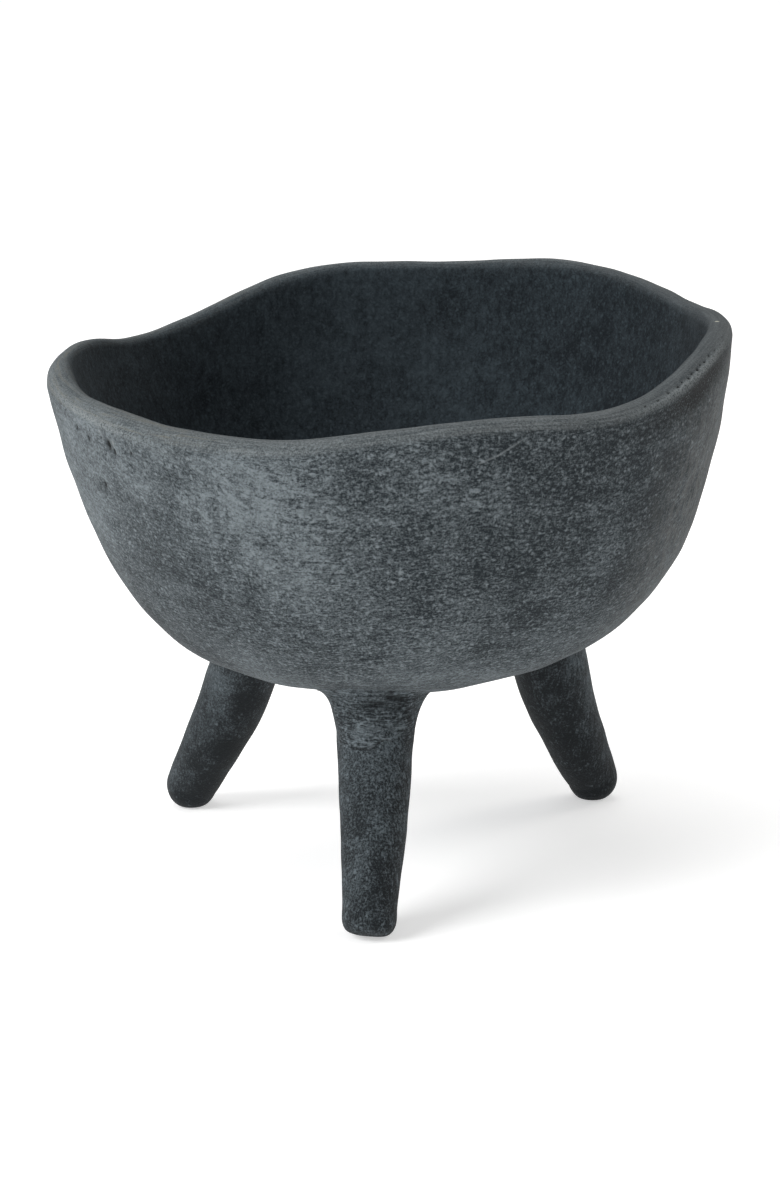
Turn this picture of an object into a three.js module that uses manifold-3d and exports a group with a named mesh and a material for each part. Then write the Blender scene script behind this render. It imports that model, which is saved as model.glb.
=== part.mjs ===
// Footed tripod bowl (molcajete form) of hand-formed, unglazed charcoal clay.
//
// A thick round bowl with a slow wavy rim stands on three splayed, tapered legs. Each leg is
// a rolled piece of clay, and a coil of clay is worked into the corner round its joint with
// the bowl. Nothing moves. Millimetres, +Z up, feet on z = 0, origin under the middle of the
// whole object.

import * as THREE from 'three';
import { ParametricGeometry } from 'three/addons/geometries/ParametricGeometry.js';
import { mergeVertices } from 'three/addons/utils/BufferGeometryUtils.js';
import Module from 'manifold-3d';

// ---------------------------------------------------------------- driving dimensions (mm)

// Outside of the bowl: one section curve turned about the bowl's own axis. The curve starts
// level at the underside and leans out by the flare at its upper end.
const UNDERSIDE_HEIGHT = 59.7;
const CURVE_RADIUS = 101.9;
const CURVE_HEIGHT = 110;
const BASE_HANDLE = 61;
const WALL_HANDLE = 108.5;
const WALL_FLARE = THREE.MathUtils.degToRad(6.5);
const OVALNESS = 0.0084;
const OVAL_AXIS = THREE.MathUtils.degToRad(-26);

// Rim: mean height above the underside, and the slow waves pressed into it by hand. A wave
// with n lobes rises and falls n times round the rim, with one crest at the given azimuth.
const RIM_HEIGHT = 95.3;
const RIM_WAVES = [
  { lobes: 1, rise: 6.1, crest: 78 },
  { lobes: 2, rise: 1.6, crest: 44 },
  { lobes: 3, rise: 1.45, crest: -40 },
  { lobes: 4, rise: 1.8, crest: 1 },
  { lobes: 5, rise: 0.8, crest: -21 },
  { lobes: 6, rise: 1.55, crest: -14 },
];
const WALL_THICKNESS = 8;
const FLOOR_THICKNESS = 10;
const LIP_OUTSIDE_ROUNDING = 4;
const LIP_INSIDE_ROUNDING = 2.5;

// The bowl was set on its legs a little out of level.
const BOWL_NOD = THREE.MathUtils.degToRad(2.5);
const BOWL_LEAN = THREE.MathUtils.degToRad(-3.6);

// Legs: the centre of the rounded foot, and the point where the axis enters the bowl, each
// as a distance and an azimuth (degrees) from the bowl's axis. Rolled by hand, each leg bows
// outward (or inward, below 0) and to one side in its own way, and thins faster near the
// joint the lower its taper power is.
const LEGS = [
  {
    name: 'front',
    foot: { distance: 79.2, azimuth: -97.5, radius: 7.75 },
    joint: { distance: 45, azimuth: -101.5, radius: 11.7 },
    bow: { outward: 0.6, sideways: 0.5 },
    taperPower: 1.25,
  },
  {
    name: 'left',
    foot: { distance: 78.5, azimuth: 151, radius: 7.9 },
    joint: { distance: 50.9, azimuth: 153.9, radius: 10.7 },
    bow: { outward: -1.15, sideways: 0 },
    taperPower: 2.45,
  },
  {
    name: 'right',
    foot: { distance: 75.5, azimuth: 38, radius: 8.15 },
    joint: { distance: 50.2, azimuth: 33.7, radius: 12.2 },
    bow: { outward: -2, sideways: 0 },
    taperPower: 1.65,
  },
];
const JOINT_HEIGHT = 62;
const ANKLE_RATIO = 0.9;
const FOOT_SQUARENESS = 2.5;

// Coil worked round each joint: how far it spreads over the bowl and down the leg, and how
// thick its feathered edges are left.
const COIL_REACH = 5;
const COIL_DROP = 6;
const COIL_EDGE = 0.7;

const JOINT_GAP = 0.3;

// Facets
const BOWL_SIDES = 72;
const OUTSIDE_STEPS = 16;
const INSIDE_STEPS = 14;
const LIP_STEPS = 3;
const LEG_SIDES = 28;
const FOOT_STEPS = 6;
const LEG_STEPS = 7;
const COIL_STEPS = 5;

// ---------------------------------------------------------------------------- small tools

const FULL_TURN = 2 * Math.PI;
const wasm = await Module();
wasm.setup();

// Value between low and high where a rising function reaches the target.
function solveRising(rising, target, low, high) {
  let [below, above] = [low, high];
  for (let step = 0; step < 40; step += 1) {
    const middle = (below + above) / 2;
    if (rising(middle) < target) below = middle;
    else above = middle;
  }
  return (below + above) / 2;
}

function polar(distance, azimuthDegrees, height) {
  const azimuth = THREE.MathUtils.degToRad(azimuthDegrees);
  return new THREE.Vector3(distance * Math.cos(azimuth), distance * Math.sin(azimuth), height);
}

// Merges shared corners and drops the triangles that a pole squeezes to nothing.
function weld(geometry) {
  geometry.deleteAttribute('normal');
  geometry.deleteAttribute('uv');
  const welded = mergeVertices(geometry, 1e-4);
  const kept = [];
  for (let i = 0; i < welded.index.count; i += 3) {
    const [a, b, c] = [0, 1, 2].map((corner) => welded.index.getX(i + corner));
    if (a !== b && b !== c && c !== a) kept.push(a, b, c);
  }
  welded.setIndex(kept);
  return welded;
}

// Closed skin through a ring of sections; sections[i] is the list of points at angle i.
function skin(sections) {
  const slices = sections.length;
  const stacks = sections[0].length - 1;
  const surface = (u, v, target) => {
    const section = sections[Math.round(u * slices) % slices];
    target.copy(section[Math.round(v * stacks)]);
  };
  return weld(new ParametricGeometry(surface, slices, stacks));
}

function toSolid(geometry) {
  const vertProperties = new Float32Array(geometry.attributes.position.array);
  const triVerts = new Uint32Array(geometry.index.array);
  return new wasm.Manifold(new wasm.Mesh({ numProp: 3, vertProperties, triVerts }));
}

function toGeometry(solid) {
  const { vertProperties, triVerts } = solid.getMesh();
  const geometry = new THREE.BufferGeometry();
  geometry.setAttribute('position', new THREE.BufferAttribute(vertProperties, 3));
  geometry.setIndex(new THREE.BufferAttribute(triVerts, 1));
  return geometry;
}

// ------------------------------------------------------------------------------- the bowl

const sectionCurve = new THREE.CubicBezierCurve(
  new THREE.Vector2(0, 0),
  new THREE.Vector2(BASE_HANDLE, 0),
  new THREE.Vector2(
    CURVE_RADIUS - WALL_HANDLE * Math.sin(WALL_FLARE),
    CURVE_HEIGHT - WALL_HANDLE * Math.cos(WALL_FLARE),
  ),
  new THREE.Vector2(CURVE_RADIUS, CURVE_HEIGHT),
);

const bowlPlacement = new THREE.Matrix4()
  .makeRotationFromEuler(new THREE.Euler(BOWL_NOD, BOWL_LEAN, 0))
  .setPosition(0, 0, UNDERSIDE_HEIGHT);

function rimHeight(azimuth) {
  return RIM_WAVES.reduce((height, wave) => {
    const crest = THREE.MathUtils.degToRad(wave.crest);
    return height + wave.rise * Math.cos(wave.lobes * (azimuth - crest));
  }, RIM_HEIGHT);
}

// Point of the wall section: along the outside curve, then into the clay by a depth.
function wallPoint(along, depth) {
  const tangent = sectionCurve.getTangent(along);
  const inward = new THREE.Vector2(-tangent.y, tangent.x);
  return sectionCurve.getPoint(along).addScaledVector(inward, depth);
}

// Section of the wall at one azimuth: up the outside, over the lip, down the inside.
function bowlSection(azimuth) {
  const lipHeight = rimHeight(azimuth) - LIP_OUTSIDE_ROUNDING;
  const top = solveRising((t) => sectionCurve.getPoint(t).y, lipHeight, 0, 1);
  const up = sectionCurve.getTangent(top);
  const lipPoint = (depth, rise) => wallPoint(top, depth).addScaledVector(up, rise);
  const points = [];
  for (let i = 0; i < OUTSIDE_STEPS; i += 1) {
    points.push(wallPoint((top * i) / OUTSIDE_STEPS, 0));
  }
  for (let i = 0; i <= LIP_STEPS; i += 1) {
    const turn = (Math.PI / 2) * (i / LIP_STEPS);
    const depth = LIP_OUTSIDE_ROUNDING * (1 - Math.cos(turn));
    points.push(lipPoint(depth, LIP_OUTSIDE_ROUNDING * Math.sin(turn)));
  }
  for (let i = 0; i < LIP_STEPS; i += 1) {
    const turn = (Math.PI / 2) * (i / LIP_STEPS);
    const depth = WALL_THICKNESS - LIP_INSIDE_ROUNDING * (1 - Math.sin(turn));
    const drop = LIP_INSIDE_ROUNDING * (1 - Math.cos(turn));
    points.push(lipPoint(depth, LIP_OUTSIDE_ROUNDING - drop));
  }
  for (let i = INSIDE_STEPS; i >= 0; i -= 1) {
    const share = i / INSIDE_STEPS;
    const thickness = THREE.MathUtils.lerp(FLOOR_THICKNESS, WALL_THICKNESS, share);
    points.push(wallPoint(top * share, thickness));
  }
  return points;
}

// Turns section points (radius, height) to an azimuth of the slightly oval bowl.
function turnSection(points, azimuth) {
  const oval = 1 + OVALNESS * Math.cos(2 * (azimuth - OVAL_AXIS));
  return points.map(({ x, y }) => {
    const radius = Math.max(x, 0) * oval;
    return new THREE.Vector3(radius * Math.cos(azimuth), radius * Math.sin(azimuth), y);
  });
}

function makeRing(count, sectionAt) {
  return Array.from({ length: count }, (_, i) => sectionAt((FULL_TURN * i) / count));
}

function bowlGeometry() {
  return skin(makeRing(BOWL_SIDES, (azimuth) => turnSection(bowlSection(azimuth), azimuth)));
}

// The lower part of the bowl as a filled lump, grown by the joint gap: legs and coils are
// cut back to it.
function bowlLump() {
  const outside = [];
  for (let i = 0; i <= OUTSIDE_STEPS; i += 1) {
    outside.push(wallPoint(i / OUTSIDE_STEPS, -JOINT_GAP));
  }
  outside.push(new THREE.Vector2(0, CURVE_HEIGHT));
  const lump = skin(makeRing(BOWL_SIDES, (azimuth) => turnSection(outside, azimuth)));
  return toSolid(lump.applyMatrix4(bowlPlacement));
}

const intoBowlFrame = bowlPlacement.clone().invert();

// How far a point in the object's frame lies above the outside surface of the bowl.
function heightInBowl(point) {
  const local = point.clone().applyMatrix4(intoBowlFrame);
  const azimuth = Math.atan2(local.y, local.x);
  const oval = 1 + OVALNESS * Math.cos(2 * (azimuth - OVAL_AXIS));
  const radius = Math.hypot(local.x, local.y) / oval;
  const along = solveRising((t) => sectionCurve.getPoint(t).x, radius, 0, 1);
  return local.z - sectionCurve.getPoint(along).y;
}

// ------------------------------------------------------------------------------- the legs

// Axis of a leg: runs from the centre of the rounded foot up to the joint.
function legFrame(leg) {
  const ankle = polar(leg.foot.distance, leg.foot.azimuth, ANKLE_RATIO * leg.foot.radius);
  const joint = polar(leg.joint.distance, leg.joint.azimuth, JOINT_HEIGHT);
  const length = ankle.distanceTo(joint);
  const axis = joint.clone().sub(ankle).normalize();
  const across = new THREE.Vector3().crossVectors(axis, polar(1, leg.foot.azimuth, 0)).normalize();
  const outward = new THREE.Vector3().crossVectors(across, axis);
  const matrix = new THREE.Matrix4().makeBasis(outward, across, axis).setPosition(ankle);
  return { matrix, length, bow: leg.bow };
}

function legRadius(leg, length, along) {
  const down = THREE.MathUtils.clamp(1 - along / length, 0, 1);
  const thinning = leg.joint.radius - leg.foot.radius;
  return leg.joint.radius - thinning * down ** leg.taperPower;
}

// Point at a distance along the leg, an angle round it and a radius from its bowed axis.
function legPoint({ matrix, length, bow }, along, angle, radius) {
  const share = THREE.MathUtils.clamp(along / length, 0, 1);
  const swell = 4 * share * (1 - share);
  const x = bow.outward * swell + radius * Math.cos(angle);
  const y = bow.sideways * swell + radius * Math.sin(angle);
  return new THREE.Vector3(x, y, along).applyMatrix4(matrix);
}

// Leg with its rounded foot end, growing into the bowl by a little more than its radius.
function legGeometry(leg, growth) {
  const frame = legFrame(leg);
  const { length } = frame;
  const buried = leg.joint.radius + JOINT_GAP;
  const roundness = 2 / FOOT_SQUARENESS;
  return skin(makeRing(LEG_SIDES, (angle) => {
    const points = [];
    for (let i = 0; i < FOOT_STEPS; i += 1) {
      const turn = (Math.PI / 2) * (i / FOOT_STEPS);
      const size = leg.foot.radius + growth;
      const along = -size * Math.cos(turn) ** roundness;
      points.push(legPoint(frame, along, angle, size * Math.sin(turn) ** roundness));
    }
    for (let i = 0; i <= LEG_STEPS; i += 1) {
      const along = (length * i) / LEG_STEPS;
      points.push(legPoint(frame, along, angle, legRadius(leg, length, along) + growth));
    }
    points.push(legPoint(frame, length + buried, angle, leg.joint.radius + growth));
    points.push(legPoint(frame, length + buried, angle, 0));
    return points;
  }));
}

// The coil fills the corner between leg and bowl with a hollow curve. Round the leg the
// bowl's surface is nearer on one side than on the other, so it is found at every angle.
function coilGeometry(leg) {
  const frame = legFrame(leg);
  const { length } = frame;
  const bowlAt = (angle, radius) => {
    const inside = (along) => heightInBowl(legPoint(frame, along, angle, radius));
    return solveRising(inside, 0, length / 2, length * 1.5);
  };
  return skin(makeRing(LEG_SIDES, (angle) => {
    const atLeg = leg.joint.radius;
    const onBowl = bowlAt(angle, atLeg + COIL_REACH);
    const corner = bowlAt(angle, atLeg);
    const onLeg = corner - COIL_DROP;
    const legSurface = legRadius(leg, length, onLeg);
    const hollow = new THREE.QuadraticBezierCurve(
      new THREE.Vector2(legSurface + COIL_EDGE, onLeg),
      new THREE.Vector2(atLeg + COIL_EDGE, corner - COIL_EDGE),
      new THREE.Vector2(atLeg + COIL_REACH, onBowl - COIL_EDGE),
    ).getPoints(COIL_STEPS);
    const outline = [
      ...hollow,
      new THREE.Vector2(atLeg + COIL_REACH, onBowl + COIL_EDGE),
      new THREE.Vector2(atLeg - COIL_EDGE, corner + COIL_EDGE),
      new THREE.Vector2(legSurface - COIL_EDGE, onLeg),
      hollow[0],
    ];
    return outline.map(({ x, y }) => legPoint(frame, y, angle, x));
  }));
}

// ---------------------------------------------------------------------------- the assembly

const clay = (color) => new THREE.MeshStandardMaterial({ color, roughness: 0.9, metalness: 0 });
const bowlClay = clay(0x565b5e);
const legClay = clay(0x3d4245);
const coilClay = clay(0x464b4e);

function namedMesh(name, geometry, material) {
  const mesh = new THREE.Mesh(geometry, material);
  mesh.name = name;
  return mesh;
}

const object = new THREE.Group();

const bowl = namedMesh('bowl', bowlGeometry(), bowlClay);
bowl.position.z = UNDERSIDE_HEIGHT;
bowl.rotation.set(BOWL_NOD, BOWL_LEAN, 0);
object.add(bowl);

const lump = bowlLump();
const groundSize = 4 * CURVE_RADIUS;
const ground = toSolid(
  weld(new THREE.BoxGeometry(groundSize, groundSize, CURVE_RADIUS)).translate(0, 0, -CURVE_RADIUS / 2),
);
for (const leg of LEGS) {
  const legSolid = toSolid(legGeometry(leg, 0)).subtract(lump).subtract(ground);
  object.add(namedMesh(`${leg.name}_leg`, toGeometry(legSolid), legClay));
  const legSpace = toSolid(legGeometry(leg, JOINT_GAP));
  const coilSolid = toSolid(coilGeometry(leg)).subtract(lump).subtract(legSpace);
  object.add(namedMesh(`${leg.name}_joint_coil`, toGeometry(coilSolid), coilClay));
}

// Centre the whole object over the origin, standing on z = 0.
const box = new THREE.Box3().setFromObject(object, true);
const middle = box.getCenter(new THREE.Vector3());
object.position.set(-middle.x, -middle.y, -box.min.z);

export default object;
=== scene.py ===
"""Footed clay bowl on three legs: the visual model, in metres, in the frame of the CAD model.

The bowl, its three legs and the three coils of clay round the leg joints repeat the driving dimensions
of the CAD model at a finer grain, with the unevenness of hand forming, and take washed-clay materials.
"""
import math
import bpy
import numpy as np
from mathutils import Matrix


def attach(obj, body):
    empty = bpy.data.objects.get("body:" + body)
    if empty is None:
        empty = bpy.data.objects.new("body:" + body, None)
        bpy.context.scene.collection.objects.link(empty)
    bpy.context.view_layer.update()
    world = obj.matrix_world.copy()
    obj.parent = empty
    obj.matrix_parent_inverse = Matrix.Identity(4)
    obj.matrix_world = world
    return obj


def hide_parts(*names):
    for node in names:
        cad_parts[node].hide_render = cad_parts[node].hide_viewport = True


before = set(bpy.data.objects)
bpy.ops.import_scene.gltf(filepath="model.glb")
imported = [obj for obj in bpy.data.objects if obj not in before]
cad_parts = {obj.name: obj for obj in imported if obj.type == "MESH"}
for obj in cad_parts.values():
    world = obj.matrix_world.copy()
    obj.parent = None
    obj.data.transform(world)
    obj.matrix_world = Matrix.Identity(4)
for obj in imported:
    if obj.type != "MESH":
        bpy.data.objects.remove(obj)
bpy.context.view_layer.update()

# ---- Driving dimensions, in millimetres, the same as the CAD model's --------------------------------
MM = 0.001
AXIS_AT = np.array([5.81, 3.0985, 0.0])      # where the bowl's axis stands in the frame
UNDERSIDE_HEIGHT = 59.7
CURVE_RADIUS, CURVE_HEIGHT = 101.9, 110.0
BASE_HANDLE, WALL_HANDLE = 61.0, 108.5
WALL_FLARE = math.radians(6.5)
OVALNESS, OVAL_AXIS = 0.0084, math.radians(-26)
RIM_HEIGHT = 95.3
RIM_WAVES = ((1, 6.1, 78), (2, 1.6, 44), (3, 1.45, -40), (4, 1.8, 1), (5, 0.8, -21), (6, 1.55, -14))
WALL_THICKNESS, FLOOR_THICKNESS = 8.0, 10.0
LIP_OUTSIDE_ROUNDING, LIP_INSIDE_ROUNDING = 4.0, 3.2
BOWL_NOD, BOWL_LEAN = math.radians(2.5), math.radians(-3.6)
JOINT_HEIGHT = 62.0
ANKLE_RATIO = 0.9
# name: (foot distance, azimuth, radius), (joint distance, azimuth, radius), (outward, sideways bow),
# taper power, squareness of the foot, rise of the sole per millimetre towards -x
LEGS = {
    "front": ((79.2, -97.5, 7.75), (45.0, -101.5, 11.7), (0.6, 0.5), 1.25, 3.1, 0.16),
    "left": ((78.5, 151.0, 7.9), (50.9, 153.9, 10.7), (-1.15, 0.0), 2.45, 2.35, 0.0),
    "right": ((75.5, 38.0, 8.15), (50.2, 33.7, 12.2), (-2.0, 0.0), 1.65, 2.25, 0.0),
}

# ---- Mesh grain -------------------------------------------------------------------------------------
BOWL_COLUMNS, OUTSIDE_ROWS, LIP_ROWS, INSIDE_ROWS = 600, 88, 34, 50
LEG_COLUMNS, LEG_ROWS, FOOT_ROWS = 96, 80, 44
COIL_COLUMNS, COIL_ROWS = 160, 22
# Finding the height of the bowl's outside: steps, and the first guess above the underside
HEIGHT_STEPS, FIRST_HEIGHT = 12, 12.0
# Finding where a leg meets the bowl: steps, and the share of the way gone in each
MEETING_STEPS, MEETING_PACE = 16, 0.8


# ---- Small helpers ----------------------------------------------------------------------------------
def bell(value, centre, width):
    """A smooth hump of height 1."""
    return np.exp(-((value - centre) / width) ** 2)


def angle_from(value, centre_degrees):
    """Difference of two directions, in degrees, from -180 to 180."""
    return (np.degrees(value) - centre_degrees + 180) % 360 - 180


def polar(distance, degrees, height):
    """The point at a distance and direction from the axis, at a height."""
    turn = math.radians(degrees)
    return np.array([distance * math.cos(turn), distance * math.sin(turn), height])


def unit(vectors):
    """The vectors at length 1."""
    return vectors / np.linalg.norm(vectors, axis=-1, keepdims=True)


def lumps(points, seed, size, count=14):
    """Smooth hand-formed unevenness, about -1 to 1: a few waves in seeded directions across the points."""
    draw = np.random.default_rng(seed)
    total = np.zeros(points.shape[:-1])
    for _ in range(count):
        direction = unit(draw.normal(size=3)) * 2 * math.pi / (size * draw.uniform(0.7, 1.6))
        total += np.cos(points @ direction + draw.uniform(0, 2 * math.pi))
    return total / math.sqrt(count)


# ---- The bowl's surface -----------------------------------------------------------------------------
def curve(t):
    """Point and direction of the outside section curve: radius and height above the underside."""
    t = np.asarray(t)[..., None]
    handle = np.array([math.sin(WALL_FLARE), math.cos(WALL_FLARE)]) * WALL_HANDLE
    top = np.array([CURVE_RADIUS, CURVE_HEIGHT])
    a, b, c, d = np.zeros(2), np.array([BASE_HANDLE, 0.0]), top - handle, top
    point = (1 - t) ** 3 * a + 3 * (1 - t) ** 2 * t * b + 3 * (1 - t) * t * t * c + t ** 3 * d
    slope = (1 - t) ** 2 * (b - a) + 2 * (1 - t) * t * (c - b) + t * t * (d - c)
    return point, unit(slope)


def wall_point(t, depth, rise=0.0):
    """Section point at a depth inside the outside curve and a rise along it."""
    point, along = curve(t)
    inward = np.stack([-along[..., 1], along[..., 0]], -1)
    return point + np.asarray(depth)[..., None] * inward + np.asarray(rise)[..., None] * along


def rim_height(azimuth):
    """Height of the wavy rim above the underside."""
    waves = sum(rise * np.cos(lobes * (azimuth - math.radians(crest))) for lobes, rise, crest in RIM_WAVES)
    return RIM_HEIGHT + waves


CURVE_STEPS = np.linspace(0, 1, 4001)
CURVE_HEIGHTS = curve(CURVE_STEPS)[0][:, 1]


def top_of_wall(azimuth):
    """Where on the section curve the lip's outside rounding starts."""
    return np.interp(rim_height(azimuth) - LIP_OUTSIDE_ROUNDING, CURVE_HEIGHTS, CURVE_STEPS)


def tilt():
    """The bowl's nod and lean on its legs."""
    cn, sn, cl, sl = math.cos(BOWL_NOD), math.sin(BOWL_NOD), math.cos(BOWL_LEAN), math.sin(BOWL_LEAN)
    nod = np.array([[1, 0, 0], [0, cn, -sn], [0, sn, cn]])
    lean = np.array([[cl, 0, sl], [0, 1, 0], [-sl, 0, cl]])
    return nod @ lean


TILT = tilt()


def stand_up(section, azimuth):
    """Section points (radius, height) at azimuths, set in the frame, in millimetres."""
    radius = section[..., 0] * (1 + OVALNESS * np.cos(2 * (azimuth - OVAL_AXIS)))
    local = np.stack([radius * np.cos(azimuth), radius * np.sin(azimuth), section[..., 1]], -1)
    return local @ TILT.T + np.array([0, 0, UNDERSIDE_HEIGHT]) + AXIS_AT


def outside_height(xy):
    """Height of the bowl's outside below points given by x and y, in the frame."""
    guess = np.full(xy.shape[:-1], UNDERSIDE_HEIGHT + FIRST_HEIGHT)
    for _ in range(HEIGHT_STEPS):
        local = (np.concatenate([xy, guess[..., None]], -1) - AXIS_AT - [0, 0, UNDERSIDE_HEIGHT]) @ TILT
        radius = np.hypot(local[..., 0], local[..., 1])
        azimuth = np.arctan2(local[..., 1], local[..., 0])
        radius = radius / (1 + OVALNESS * np.cos(2 * (azimuth - OVAL_AXIS)))
        t = np.interp(radius, curve(CURVE_STEPS)[0][:, 0], CURVE_STEPS)
        guess = guess + (curve(t)[0][..., 1] - local[..., 2])
    return guess


# ---- Meshes -----------------------------------------------------------------------------------------
def grid_faces(rows, columns, first=0):
    """Quads of a grid whose rows are closed rings."""
    row, column = np.meshgrid(np.arange(rows - 1), np.arange(columns), indexing="ij")
    near, far = row * columns + column, row * columns + (column + 1) % columns
    return (first + np.stack([near, far, far + columns, near + columns], -1)).reshape(-1, 4)


def smooth_mesh(name, vertices, faces, attributes=None):
    """A smooth-shaded object from points in millimetres, with named numbers on its points."""
    mesh = bpy.data.meshes.new(name)
    mesh.from_pydata((vertices * MM).tolist(), [], faces)
    mesh.shade_smooth()
    for label, values in (attributes or {}).items():
        mesh.attributes.new(label, "FLOAT", "POINT").data.foreach_set("value", values.astype(np.float32))
    mesh.validate()
    mesh.update()
    piece = bpy.data.objects.new(name, mesh)
    bpy.context.scene.collection.objects.link(piece)
    return piece


def normals_of(grid):
    """Outward normals of a grid of points whose second axis is a closed ring."""
    around = np.roll(grid, -1, 1) - np.roll(grid, 1, 1)
    along = np.gradient(grid, axis=0)
    normal = np.cross(around, along)
    length = np.linalg.norm(normal, axis=-1, keepdims=True)
    return np.where(length > 1e-9, normal / np.maximum(length, 1e-9), 0)


def capped(rings, start, end):
    """Vertices and faces of rings closed by a point at each end."""
    rows, columns = rings.shape[:2]
    vertices = np.concatenate([rings.reshape(-1, 3), [start, end]])
    faces = grid_faces(rows, columns).tolist()
    last = (rows - 1) * columns
    for column in range(columns):
        after = (column + 1) % columns
        faces.append((rows * columns, after, column))
        faces.append((rows * columns + 1, last + column, last + after))
    return vertices, faces


# ---- The bowl ---------------------------------------------------------------------------------------
# Ridges drawn up along the worked parts of the rim: azimuth, spread in degrees, place across the lip and
# how far that place moves over the lip per degree
RIM_RIDGES = ((-147.0, 15.0, 2.0, -0.1), (-32.0, 14.0, 2.9, 0.0))
# The undercut below the right ridge, with painted shade in it: azimuth, spread, place across the lip, half
# width
UNDERCUT, UNDERCUT_DEPTH = (-29.0, 12.0, -0.4, 2.3), 1.0
# Small rises and dips of the rim: azimuth, spread, rise
RIM_TOUCHES = ((161.0, 6.0, 0.6), (149.0, 7.0, -0.6), (1.0, 10.0, -0.8))
# Where the left end of the rim was pinched in while the clay was soft: azimuth, spread, depth, drop
PINCH = (165.0, 25.0, 1.7, 8.0)
# Pits in the rim: azimuth, distance across the lip from its outer edge, radius, depth
LIP_PITS = (
    (-141.9, -1.9, 1.2, 0.8), (-140.6, -2.6, 0.7, 0.5), (-143.6, -1.2, 0.6, 0.4), (-148.5, -2.2, 0.7, 0.5),
    (-152.0, -1.4, 0.6, 0.4), (-156.0, 0.4, 0.5, 0.3), (-136.0, -2.0, 0.5, 0.3), (-147.0, -8.5, 0.8, 0.4),
    (-44.5, 4.0, 0.4, 0.3), (-41.5, 3.8, 0.5, 0.3), (-38.5, 4.2, 0.5, 0.4), (-35.8, 4.0, 0.6, 0.5),
    (-34.4, 4.4, 0.4, 0.4), (-32.6, 3.9, 0.6, 0.6), (-31.2, 4.3, 0.5, 0.5), (-29.4, 4.0, 0.7, 0.7),
    (-28.0, 4.5, 0.4, 0.4), (-26.6, 4.1, 0.5, 0.5), (-24.4, 4.3, 0.5, 0.4), (-22.0, 4.0, 0.4, 0.3),
)
# Painted highlights beside the largest pit: azimuth, place, radius
PIT_HIGHLIGHTS = ((-143.5, -1.0, 0.7), (-140.2, -1.3, 0.5))
RIDGE_HEIGHT, RIDGE_WIDTH = 0.45, 1.0
GROOVE_SHARE, GROOVE_PLACE, GROOVE_WIDTH = 0.8, 1.6, 1.2     # the groove on the inner side of a ridge
PIT_SHORTNESS = 1.5          # how much shorter a pit is across the lip than along it
PIT_SHADE_SHARE = 0.85        # radius of a pit's painted shade
PIT_HIGHLIGHT_SHARE = 0.5         # how strong the painted highlights beside the pits are
RIM_CROWDING = 3.5           # how much closer the columns are where the rim is worked
TOUCH_PLACE, TOUCH_WIDTH = 6.0, 14.0         # of the rises and dips, across the lip
# Unevenness of the bowl: depth, then seed and size of its broad and of its small lumps
UNEVENNESS, BROAD_LUMPS, SMALL_LUMPS, SMALL_LUMP_SHARE = 0.32, (11, 42), (12, 14), 0.35
LIP_FLAT = 0.8               # between the outside and the inside rounding of the lip
INSIDE_START, INSIDE_OVER = 3.0, 7.0         # of the inside's clay, across the lip
WALL_PER_HEIGHT = 1.3        # length of the wall's section per millimetre of its height, roughly
OUTSIDE_EASING, INSIDE_EASING = 0.8, 0.2     # how unevenly the rows of each side are spaced


def bowl_columns():
    """Azimuths of the bowl's columns, closer together where the rim is worked."""
    fine = np.linspace(-math.pi, math.pi, 7201)
    crowd = 1 + sum(
        RIM_CROWDING * bell(angle_from(fine, at), 0, spread) for at, spread, _, _ in RIM_RIDGES)
    share = np.concatenate([[0], np.cumsum((crowd[1:] + crowd[:-1]) / 2)])
    wanted = np.arange(BOWL_COLUMNS) / BOWL_COLUMNS * share[-1]
    return np.interp(wanted, share, fine)


def bowl_section(azimuth):
    """Section rows from the middle of the underside, over the lip, to the middle of the floor.

    Returns the points and each row's distance across the lip: negative on the outside wall, 0 at the
    start of the rounding, growing to the inside."""
    top = top_of_wall(azimuth)
    points, across = [], []

    def add(point, distance):
        points.append(point)
        across.append(np.broadcast_to(distance, azimuth.shape))

    wall_length = (rim_height(azimuth) - LIP_OUTSIDE_ROUNDING) * WALL_PER_HEIGHT
    for share in np.linspace(0, 1, OUTSIDE_ROWS + 1)[1:]:
        eased = share * (1 + OUTSIDE_EASING - OUTSIDE_EASING * share)
        add(wall_point(top * eased, np.zeros_like(top)), -(1 - eased) * wall_length)
    outer, inner = LIP_OUTSIDE_ROUNDING, LIP_INSIDE_ROUNDING
    for turn in np.linspace(0, math.pi / 2, LIP_ROWS // 2 + 1)[1:]:
        depth, rise = outer * (1 - math.cos(turn)), outer * math.sin(turn)
        add(wall_point(top, np.full_like(top, depth), np.full_like(top, rise)), outer * turn)
    edge = outer * math.pi / 2
    for turn in np.linspace(0, math.pi / 2, LIP_ROWS // 2):
        depth, rise = WALL_THICKNESS - inner * (1 - math.sin(turn)), outer - inner * (1 - math.cos(turn))
        point = wall_point(top, np.full_like(top, depth), np.full_like(top, rise))
        add(point, edge + LIP_FLAT + inner * turn)
    edge += LIP_FLAT + inner * math.pi / 2
    for share in np.linspace(1, 0, INSIDE_ROWS + 1)[:-1]:
        eased = share * (1 - INSIDE_EASING + INSIDE_EASING * share)
        depth = FLOOR_THICKNESS + (WALL_THICKNESS - FLOOR_THICKNESS) * eased
        add(wall_point(top * eased, np.full_like(top, 1.0) * depth), edge + (1 - eased) * wall_length)
    return np.array(points), np.array(across)


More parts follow.
